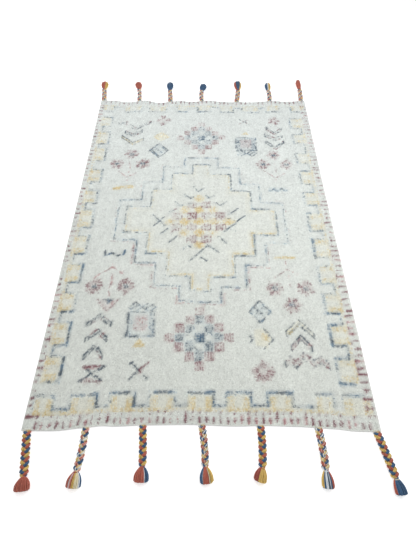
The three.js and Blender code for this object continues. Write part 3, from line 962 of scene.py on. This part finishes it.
def buildPile():
    across, along = [
        np.arange(pile["edgeMargin"] - size / 2, size / 2 - pile["edgeMargin"], pitch)
        for size, pitch in ((rug["width"], pile["acrossPitch"]), (rug["length"], pile["alongPitch"]))
    ]
    pieces = []
    for band, rows in enumerate(np.array_split(along, pile["bands"])):
        s, t = gridOf(across, rows)
        count = len(s)
        random = np.random.default_rng(60 + band)
        s = s + random.uniform(-1, 1, count) * pile["jitter"]
        t = t + random.uniform(-1, 1, count) * pile["jitter"]
        wear = 0
        for order, (part, wide, long) in enumerate(pile["wear"]):
            wear += part * clouds(s, t, wide, long, 20 + order)
        wear += pile["wearGrain"] * random.random(count)
        worn = np.argsort(np.argsort(wear)) / count
        shade = 1 + pile["shade"] * random.standard_normal(count)
        for order, (wide, long, spread) in enumerate(pile["clumps"]):
            shade += spread * (clouds(s, t, wide, long, 30 + order) - 0.5)
        colours = paint(s, t, worn) * shade[:, None]
        height = pileHeight(s, t)
        clump = clouds(s, t, pile["clumpSize"], pile["clumpSize"], 40) - pile["clumpLevel"]
        tip = height + pile["clumpRise"] * clump + random.uniform(*pile["ragged"], count)
        foot = np.maximum(height - rug["canvasDrop"] - pile["footDrop"], pile["footLow"])
        points = np.column_stack([*layOut(s, t), foot])
        looks = {"dye": colours, "tall": (tip - foot) * mm}
        source = meshObject(f"pilePoints_{band + 1}", points, [], [], looks)
        pieces.append(grown(
            f"rugPile_{band + 1}", source, tufts, wide=pile["tuftWidth"] * mm, long=pile["tuftLength"] * mm,
            lean=pile["lean"], seed=band, material=pileWool,
        ))
    return pieces


rugCanvas = buildCanvas()
pileBands = buildPile()
print("rug made:", sum(len(band.data.polygons) for band in pileBands) // 4, "tufts")


# Plaits, ties and tassels

plait = {
    "lobePitch": 13.1,
    "phase": 0.1,  # how far into its round the plait starts
    "height": 16,
    "strandWidth": 14,
    "strandHeight": 7.5,
    "yarnsInStrand": 7,
    "yarnRadius": 1.9,
    "strandTwist": 0.9,  # turns of a strand's yarns in a whole plait period
    "stepsInPeriod": 12,
    "rise": 14,  # the root reaches the plait's full height over this
    "rootLift": 4.6,
    "gather": 11,  # the neck draws in over this
    "neckLift": 8.6,
    "neckSwing": 2.2,
    "neckHalfWidth": 3.9,
    "neckHalfHeight": 3,
    "neckYarn": 1.2,
    "rootGap": 0.3,  # between the hem and a plait's root
    "overrun": 0.02,  # the yarns end beyond the neck, by this share of the length
    "overrunTurn": 0.6,  # and turn there towards the tassel
    "rootSwing": 0.9,  # a plait's swing and lap at its root, of the full ones
    "rootLap": 0.3,
    "neckLap": 0.8,
    "yarnTurn": (-0.15, 0.15),
    "yarnVary": (0.94, 1.06),
    "shadeVary": (0.88, 1.12),
}
# Each plait and its tassel, from left to right: where it leaves the hem and where its neck lies across
# the rug, its length, bow, width and strands, then its tassel's tip, spread and reach, the tie, the
# tassel's slot, and its yarns from left to right with their share of its width, in hundredths
solid = ("terracotta", "mustard", "navy")
pale = ("pink terracotta pink cream", "cream mustard cream white", "navy navy navy white")
blended = ("terracotta pink terracotta cream", "mustard cream mustard white", "navy navy white")
rowParts = (
    "across", "neck", "length", "bow", "width", "strands", "tip", "spread", "reach", "tie", "slot", "yarns",
)
plaited = {
    "front": [
        (-582, -558, 138, 0, 30, solid, -553, 51, 38, "terracotta", "terracotta_yarn", "100 terracotta"),
        (-388, -396, 130, 3, 27, pale, -397, 50, 45, "brick", "gold_yarn",
         "19 terracotta 8 white 6 pink 7 brick 18 mustard 22 cream 10 white 10 navy"),
        (-198, -188, 125, 1.5, 28, solid, -188, 50, 42.6, "terracotta", "terracotta_yarn",
         "72 terracotta 4 white 24 navy"),
        (1, 13, 127, 3, 27, blended, 19, 45, 45.5, "terracotta", "terracotta_yarn",
         "14 navy 6 white 44 terracotta 10 cream 26 mustard"),
        (199, 195, 126, 3, 29, solid, 181, 43, 40.5, "brick", "gold_yarn", "40 brick 60 mustard"),
        (393, 397, 126, 2, 29, blended, 395, 41, 49.5, "white", "cream_yarn",
         "14 mustard 18 navy 8 white 20 slate 6 white 10 navy 24 terracotta"),
        (586, 614, 140, 1, 29, solid, 618, 40, 42.7, "cream", "navy_yarn", "14 terracotta 86 navy"),
    ],
    "far": [
        (-586, -599, 109, 0, 30, blended, -600, 46, 50, "terracotta", "terracotta_yarn",
         "62 terracotta 38 mustard"),
        (-377, -388, 112, 2, 26, pale, -397, 42, 49, "brick", "terracotta_yarn", "100 terracotta"),
        (-192, -201, 109, 0, 29, blended, -201, 42, 54, "navy", "navy_yarn", "100 navy"),
        (-8, -8, 97, -2, 27, pale, 6, 43, 44, "navy", "navy_yarn", "100 navy"),
        (200, 213, 109, 0, 30, blended, 211, 46, 70, "brick", "navy_yarn",
         "24 terracotta 54 navy 22 mustard"),
        (395, 396, 95, 3, 27, pale, 394, 38, 56, "cream", "cream_yarn", "36 navy 24 white 40 mustard"),
        (582, 588, 109, 0, 28, blended, 584, 30, 70, "terracotta", "terracotta_yarn", "100 terracotta"),
    ],
}


def rootAndNeck(row, end):
    root = np.array([row["across"], hemAt(end, row["across"]) + end * plait["rootGap"]])
    fall = math.sqrt(row["length"] ** 2 - (row["neck"] - row["across"]) ** 2)
    return root, np.array([row["neck"], root[1] + end * fall])


def headingOf(row, end):
    heading = np.array([row["tip"] - row["neck"], end * row["reach"]], float)
    return heading / np.hypot(*heading)


def onTassel(row, end, along, across):
    # places at distances from the plait's neck, along the tassel and across it
    heading = headingOf(row, end)
    sideways = np.array([-heading[1], heading[0]])
    return rootAndNeck(row, end)[1] + along[:, None] * heading + across[:, None] * sideways


def plaitLines(row, end, seed):
    # three flat strands of parallel yarns, each passing over the next towards the middle
    random = np.random.default_rng(seed)
    root, neck = rootAndNeck(row, end)
    line = neck - root
    side = np.array([-line[1], line[0]]) / np.hypot(*line)
    periods = row["length"] / (3 * plait["lobePitch"])
    share = np.linspace(0, 1 + plait["overrun"], round(periods * plait["stepsInPeriod"]) + 2)
    bow = -end * row["bow"] * np.sin(np.pi * np.clip(share, 0, 1))
    centre = root + share[:, None] * line + bow[:, None] * side
    heading = np.gradient(centre, axis=0)
    heading[-2:] = mixed(heading[-2:], headingOf(row, end) * np.hypot(*heading[-4]), plait["overrunTurn"])
    heading /= np.hypot(heading[:, 0], heading[:, 1])[:, None]
    sideways = np.column_stack([-heading[:, 1], heading[:, 0]])
    full = eased((1 - share) * row["length"] / plait["gather"])  # 1 along the plait, 0 at the neck
    risen = eased(share * row["length"] / plait["rise"])  # 0 at the hem
    swing = mixed(plait["neckSwing"], (row["width"] - plait["strandWidth"]) / 2, full)
    swing *= mixed(plait["rootSwing"], 1, risen)
    lap = mixed(plait["neckLap"], (plait["height"] - plait["strandHeight"]) / 2, full)
    lap *= mixed(plait["rootLap"], 1, risen)
    lift = mixed(plait["rootLift"], mixed(plait["neckLift"], plait["height"] / 2, full), risen)
    halfWidth = mixed(plait["neckHalfWidth"], plait["strandWidth"] / 2 - plait["yarnRadius"], full)
    halfHeight = mixed(plait["neckHalfHeight"], plait["strandHeight"] / 2 - plait["yarnRadius"], full)
    lines = []
    for strand in range(3):
        turn = 2 * np.pi * (periods * share + strand / 3 + plait["phase"])
        dyes = row["strands"][strand].split()
        for yarn in range(plait["yarnsInStrand"]):
            angle = 2 * np.pi * (yarn / plait["yarnsInStrand"] + plait["strandTwist"] * periods * share)
            angle += random.uniform(*plait["yarnTurn"])
            offset = swing * np.sin(turn) + halfWidth * np.cos(angle)
            z = lift - lap * np.sin(2 * turn) + halfHeight * np.sin(angle)
            radius = mixed(plait["neckYarn"], plait["yarnRadius"], full)
            radius *= random.uniform(*plait["yarnVary"])
            colour = dye[dyes[yarn % len(dyes)]] * random.uniform(*plait["shadeVary"])
            spots = centre + offset[:, None] * sideways
            lines.append(yarnLine(spots, np.maximum(z, radius), radius, colour))
    return lines


tassel = {
    "yarns": 96,
    "steps": 7,
    "neckRadius": (5.9, 4.6),
    "neckThread": 0.72,
    "tipThread": 1.4,
    "tipHalfHeight": 12.2,
    "bell": 0.78,  # the skirt has its full width this far along
    "bellPower": 0.9,
    "liftPace": 1.3,
    "inTie": 3,  # how far the yarns reach back under the tie
    "roundedCut": 0.15,
    "ragged": 1.4,
    "raggedVary": (-1, 0.4),
    "threadVary": (0.88, 1.12),
    "wave": (-0.6, 0.6),
    "stray": (-0.025, 0.025),  # how far a yarn lies from its colour's place
    "shadeVary": (0.92, 1.18),
}


def tasselLines(row, end, seed):
    random = np.random.default_rng(seed)
    golden = math.pi * (3 - math.sqrt(5))
    shares, names = row["yarns"].split()[::2], row["yarns"].split()[1::2]
    bounds = np.cumsum(np.array(shares, float)) / 100
    share = np.linspace(0, 1, tassel["steps"])
    swell = np.sin(np.pi / 2 * np.clip(share / tassel["bell"], 0, 1) ** tassel["bellPower"])
    height = mixed(tassel["neckRadius"][1], tassel["tipHalfHeight"], swell)
    risen = eased(share * tassel["liftPace"])
    lift = mixed(plait["neckLift"], tassel["tipHalfHeight"] + tassel["tipThread"], risen)
    lines = []
    for yarn in range(tassel["yarns"]):
        radius = math.sqrt((yarn + 0.5) / tassel["yarns"])
        a, b = radius * math.cos(golden * yarn), radius * math.sin(golden * yarn)
        reach = row["reach"] * (1 - tassel["roundedCut"] * a ** 4)
        reach += random.uniform(*tassel["raggedVary"]) * tassel["ragged"]
        across = a * mixed(tassel["neckRadius"][0], row["spread"] / 2 - tassel["tipThread"], swell)
        thick = mixed(tassel["neckThread"], tassel["tipThread"], np.sqrt(share))
        thick *= random.uniform(*tassel["threadVary"])
        wave = random.uniform(*tassel["wave"]) * np.sin(np.pi * share)
        place = (a * -end + 1) / 2 + random.uniform(*tassel["stray"])
        index = int(np.searchsorted(bounds, np.clip(place, 0, 0.999)))
        colour = dye[names[index]] * random.uniform(*tassel["shadeVary"])
        spots = onTassel(row, end, mixed(-tassel["inTie"], reach, share), across + wave)
        lines.append(yarnLine(spots, np.maximum(lift + b * height + wave, thick), thick, colour))
    return lines


tie = {
    "turns": 2,
    "stepsInTurn": 16,
    "start": 0.2,
    "pitch": 1.4,
    "thread": 0.85,
    "halfWidth": 8.15,
    "halfHeight": 6.7,
}


def tieLines(row, end):
    turn = np.linspace(0, 2 * np.pi * tie["turns"], tie["turns"] * tie["stepsInTurn"] + 1)
    along = tie["start"] + tie["pitch"] * turn / (2 * np.pi)
    spots = onTassel(row, end, along, tie["halfWidth"] * np.cos(turn))
    z = plait["neckLift"] + tie["halfHeight"] * np.sin(turn)
    return [yarnLine(spots, z, tie["thread"], dye[row["tie"]])]


stitching = {
    "count": 4,
    "steps": 7,
    "thread": 0.7,
    "inside": 5,
    "insideVary": (0.8, 1.2),
    "outside": 5,
    "widthShare": 0.7,  # the stitches cover this much of a plait's width
    "slant": (-3, 3),
    "height": 7.6,
    "arch": 1.2,
    "shadeVary": (0.9, 1.05),
}


def stitchLines(row, end, seed):
    # stitches over the hem that hold a plait's root
    random = np.random.default_rng(seed)
    share = np.linspace(0, 1, stitching["steps"])
    z = stitching["height"] + stitching["arch"] * np.sin(np.pi * share)
    lines = []
    for stitch in range(stitching["count"]):
        place = stitch / (stitching["count"] - 1) - 0.5
        x = row["across"] + row["width"] * stitching["widthShare"] * place
        slant = random.uniform(*stitching["slant"])
        inside = stitching["inside"] * random.uniform(*stitching["insideVary"])
        reach = mixed(-inside, stitching["outside"], share)
        spots = np.column_stack([x + slant * (share - 0.5), hemAt(end, x) + end * reach])
        colour = dye["cream"] * random.uniform(*stitching["shadeVary"])
        lines.append(yarnLine(spots, z, stitching["thread"], colour))
    return lines


dressed = []
stitches = []
for side, end, firstSeed in (("front", -1, 100), ("far", 1, 150)):
    for order, sizes in enumerate(plaited[side]):
        row = dict(zip(rowParts, sizes))
        tag = f"{side}_{order + 1}"
        seed = firstSeed + order
        for name, lines, wool, node, slot in (
            ("plaitYarn_", plaitLines(row, end, seed), plaitWool, "plait_", "plait_yarn"),
            ("tieThread_", tieLines(row, end), tieCotton, "tie_", "tie_thread"),
            ("tasselYarn_", tasselLines(row, end, seed + 500), tasselWool, "tassel_", row["slot"]),
        ):
            dressed.append((yarnPiece(name + tag, lines, wool), node + tag, slot))
        stitches += stitchLines(row, end, seed + 900)
rootStitches = yarnPiece("rootStitches", stitches, tieCotton)
print("plaits and tassels made:", len(dressed), "pieces")


# Frame: each piece rides on the one body and stands for its CAD node

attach(rugCanvas, "root")
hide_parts("rug")
for band in pileBands:
    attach(band, "root")
for piece, node, slot in dressed:
    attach(piece, "root")
    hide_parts(node)
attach(rootStitches, "root")


# Stage: a pale floor, soft light and the camera at the photo's angle

stage = {
    "floorSize": 30,
    "floorDrop": 0.3,
    "floorGrey": 0.9,
    "floorGlow": 0.5,  # keeps the floor near white
    "worldLight": 0.42,
    "lamps": [  # place, size, power, in metres and watts
        {"name": "keyLight", "place": (0.64, 0, 1.7), "size": 1.6, "power": 23.5},
        {"name": "fillLight", "place": (-1.25, 1.3, 1.7), "size": 1.4, "power": 23.7},
    ],
}
camera = {
    "place": (15.75, -1038.48, 1271.55),  # millimetres from the rug's middle
    "downTilt": 60.006,
    "turn": 0.678,
    "roll": 0.486,
    "lens": 22.59,
    "sensor": 36,
}


def buildFloor():
    half = stage["floorSize"] / 2 / mm
    corners = [(a * half, b * half, -stage["floorDrop"]) for a, b in ((-1, -1), (1, -1), (1, 1), (-1, 1))]
    floor = meshObject("floor", corners, [], [(0, 1, 2, 3)], {})
    material, tree = newMaterial("paleFloor")
    shader = addNode(
        tree, "ShaderNodeBsdfPrincipled", Base_Color=(*[stage["floorGrey"]] * 3, 1), Roughness=0.9,
        Specular_IOR_Level=0, Emission_Color=(1, 1, 1, 1), Emission_Strength=stage["floorGlow"],
    )
    addNode(tree, "ShaderNodeOutputMaterial", Surface=shader)
    floor.data.materials.append(material)


def buildLights():
    world = bpy.data.worlds.new("studio")
    scene.world = world
    world.use_nodes = True
    sky = world.node_tree.nodes["Background"].inputs
    sky["Color"].default_value = (1, 1, 1, 1)
    sky["Strength"].default_value = stage["worldLight"]
    for lamp in stage["lamps"]:
        light = bpy.data.lights.new(lamp["name"], "AREA")
        light.size = lamp["size"]
        light.energy = lamp["power"]
        holder = linked(lamp["name"], light)
        holder.location = lamp["place"]
        holder.rotation_euler = (-Vector(lamp["place"])).to_track_quat("-Z", "Y").to_euler()


def buildCamera():
    down, turn, roll = [math.radians(camera[key]) for key in ("downTilt", "turn", "roll")]
    forward = Vector((math.sin(turn) * math.cos(down), math.cos(turn) * math.cos(down), -math.sin(down)))
    level = Vector((math.cos(turn), -math.sin(turn), 0))
    right = level * math.cos(roll) + level.cross(forward) * math.sin(roll)
    place = (Vector(camera["place"]) + Vector((middleX, middleY, 0))) * mm
    lens = bpy.data.cameras.new("photoCamera")
    lens.lens = camera["lens"]
    lens.sensor_width = camera["sensor"]
    holder = linked("photoCamera", lens)
    axes = Matrix((right, right.cross(forward), -forward)).transposed()
    holder.matrix_world = Matrix.Translation(place) @ axes.to_4x4()
    scene.camera = holder


buildFloor()
buildLights()
buildCamera()
scene.view_settings.view_transform = "Standard"
print("stage set")
